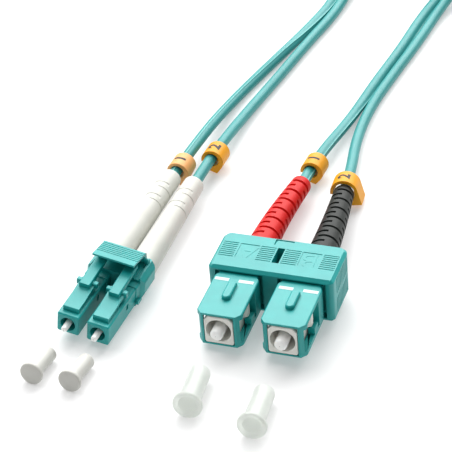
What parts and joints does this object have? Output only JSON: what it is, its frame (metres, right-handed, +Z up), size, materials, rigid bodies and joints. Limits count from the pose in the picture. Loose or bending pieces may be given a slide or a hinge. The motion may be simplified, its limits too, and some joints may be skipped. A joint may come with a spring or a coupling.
{
  "type": "fibre optic patch cord",
  "caption": "Duplex fibre optic patch cord with latched small-form plugs in a trigger clip at one end, push-pull square plugs in a grip clip at the other, boots, number rings and dust caps.",
  "frame": {"origin": "on the surface that it lies on, below the middle of the box round the connectors and the dust caps", "axes": "+Z up, +Y from the SC plugs' front faces towards their cables, +X to the right when the plugs' fronts face the viewer"},
  "size_m": [0.0522, 0.2026, 0.0117],
  "materials": {
    "aqua_housing": "satin",
    "aqua_jacket": "satin",
    "white_plastic": "satin",
    "ceramic": "polished",
    "steel": "brushed",
    "brass_collar": "satin",
    "white_boot": "satin",
    "red_boot": "satin",
    "black_boot": "satin",
    "yellow_marker": "satin",
    "peach_marker": "satin",
    "clear_cap": "satin",
    "white_cap": "satin",
    "black_tie": "woven"
  },
  "bodies": {
    "plugs": {"cable_coil": "aqua_jacket", "cable_lc_1": "aqua_jacket", "cable_lc_2": "aqua_jacket", "cable_sc_1": "aqua_jacket", "cable_sc_2": "aqua_jacket", "coil_tie": "black_tie", "lc_boot_1": "white_boot", "lc_boot_2": "white_boot", "lc_cable_end_1": "aqua_jacket", "lc_cable_end_2": "aqua_jacket", "lc_clip": "aqua_housing", "lc_crimp_ring_1": "steel", "lc_crimp_ring_2": "steel", "lc_housing_1": "aqua_housing", "lc_housing_2": "aqua_housing", "lc_marker_1": "peach_marker", "lc_marker_2": "yellow_marker", "lc_rear_body_1": "white_plastic", "lc_rear_body_2": "white_plastic", "lc_spring_1": "steel", "lc_spring_2": "steel", "sc_boot_1": "red_boot", "sc_boot_2": "black_boot", "sc_cable_end_1": "aqua_jacket", "sc_cable_end_2": "aqua_jacket", "sc_crimp_ring_1": "steel", "sc_crimp_ring_2": "steel", "sc_marker_1": "yellow_marker", "sc_marker_2": "yellow_marker", "sc_plug_frame_1": "white_plastic", "sc_plug_frame_2": "white_plastic", "sc_rear_body_1": "white_plastic", "sc_rear_body_2": "white_plastic", "sc_spring_1": "steel", "sc_spring_2": "steel"},
    "lc_trigger": {"lc_trigger": "aqua_housing"},
    "lc_latch_1": {"lc_latch_1": "aqua_housing"},
    "lc_ferrule_1": {"lc_ferrule_1": "ceramic", "lc_flange_1": "brass_collar"},
    "sc_ferrule_1": {"sc_ferrule_1": "ceramic", "sc_flange_1": "brass_collar"},
    "lc_dust_cap_1": {"lc_dust_cap_1": "white_cap"},
    "sc_dust_cap_1": {"sc_dust_cap_1": "clear_cap"},
    "lc_latch_2": {"lc_latch_2": "aqua_housing"},
    "lc_ferrule_2": {"lc_ferrule_2": "ceramic", "lc_flange_2": "brass_collar"},
    "sc_ferrule_2": {"sc_ferrule_2": "ceramic", "sc_flange_2": "brass_collar"},
    "lc_dust_cap_2": {"lc_dust_cap_2": "white_cap"},
    "sc_dust_cap_2": {"sc_dust_cap_2": "clear_cap"},
    "sc_grip": {"sc_clip_top": "aqua_housing", "sc_clip_bottom": "aqua_housing", "sc_outer_housing_1": "aqua_housing", "sc_outer_housing_2": "aqua_housing"}
  },
  "joints": [
    {"name": "lc_trigger_press", "type": "hinge", "parent": "plugs", "child": "lc_trigger", "pos_m": [-0.01718, -0.00204, 0.00741], "axis": [0.9956, -0.0591, -0.0732], "range_deg": [0, 13], "stiffness_Nm_per_rad": 0.005, "springref_deg": -2.86},
    {"name": "lc_latch_1_flex", "type": "hinge", "parent": "plugs", "child": "lc_latch_1", "pos_m": [-0.02145, -0.01992, 0.00649], "axis": [-0.9956, 0.0591, 0.0732], "range_deg": [0, 5], "stiffness_Nm_per_rad": 0.005},
    {"name": "lc_latch_2_flex", "type": "hinge", "parent": "plugs", "child": "lc_latch_2", "pos_m": [-0.01523, -0.02029, 0.00603], "axis": [-0.9956, 0.0591, 0.0732], "range_deg": [0, 5], "stiffness_Nm_per_rad": 0.005},
    {"name": "lc_ferrule_1_float", "type": "slide", "parent": "plugs", "child": "lc_ferrule_1", "axis": [0.0593, 0.9982, 0], "range_m": [0, 0.0009], "stiffness_N_per_m": 1500, "springref_m": -0.003, "deforming": ["lc_spring_1"]},
    {"name": "lc_ferrule_2_float", "type": "slide", "parent": "plugs", "child": "lc_ferrule_2", "axis": [0.0593, 0.9982, 0], "range_m": [0, 0.0009], "stiffness_N_per_m": 1500, "springref_m": -0.003, "deforming": ["lc_spring_2"]},
    {"name": "sc_ferrule_1_float", "type": "slide", "parent": "plugs", "child": "sc_ferrule_1", "axis": [0, 1, 0], "range_m": [0, 0.001], "stiffness_N_per_m": 1800, "springref_m": -0.004, "deforming": ["sc_spring_1"]},
    {"name": "sc_ferrule_2_float", "type": "slide", "parent": "plugs", "child": "sc_ferrule_2", "axis": [0, 1, 0], "range_m": [0, 0.001], "stiffness_N_per_m": 1800, "springref_m": -0.004, "deforming": ["sc_spring_2"]},
    {"name": "sc_grip_pull", "type": "slide", "parent": "plugs", "child": "sc_grip", "axis": [0, 1, 0], "range_m": [0, 0.0016]},
    {"name": "lc_dust_cap_1_lay", "type": "slide", "parent": "plugs", "child": "lc_dust_cap_1", "axis": [-0.0872, -0.9962, 0], "range_m": [0, 0.02]},
    {"name": "lc_dust_cap_2_lay", "type": "slide", "parent": "plugs", "child": "lc_dust_cap_2", "axis": [-0.0854, -0.9963, 0], "range_m": [0, 0.02]},
    {"name": "sc_dust_cap_1_lay", "type": "slide", "parent": "plugs", "child": "sc_dust_cap_1", "axis": [0.0924, -0.9957, 0], "range_m": [0, 0.02]},
    {"name": "sc_dust_cap_2_lay", "type": "slide", "parent": "plugs", "child": "sc_dust_cap_2", "axis": [0.0663, -0.9978, 0], "range_m": [0, 0.02]}
  ],
  "couplings": [
    {"joint": "lc_latch_1_flex", "follows": "lc_trigger_press", "ratio": 0.34},
    {"joint": "lc_latch_2_flex", "follows": "lc_trigger_press", "ratio": 0.34}
  ]
}
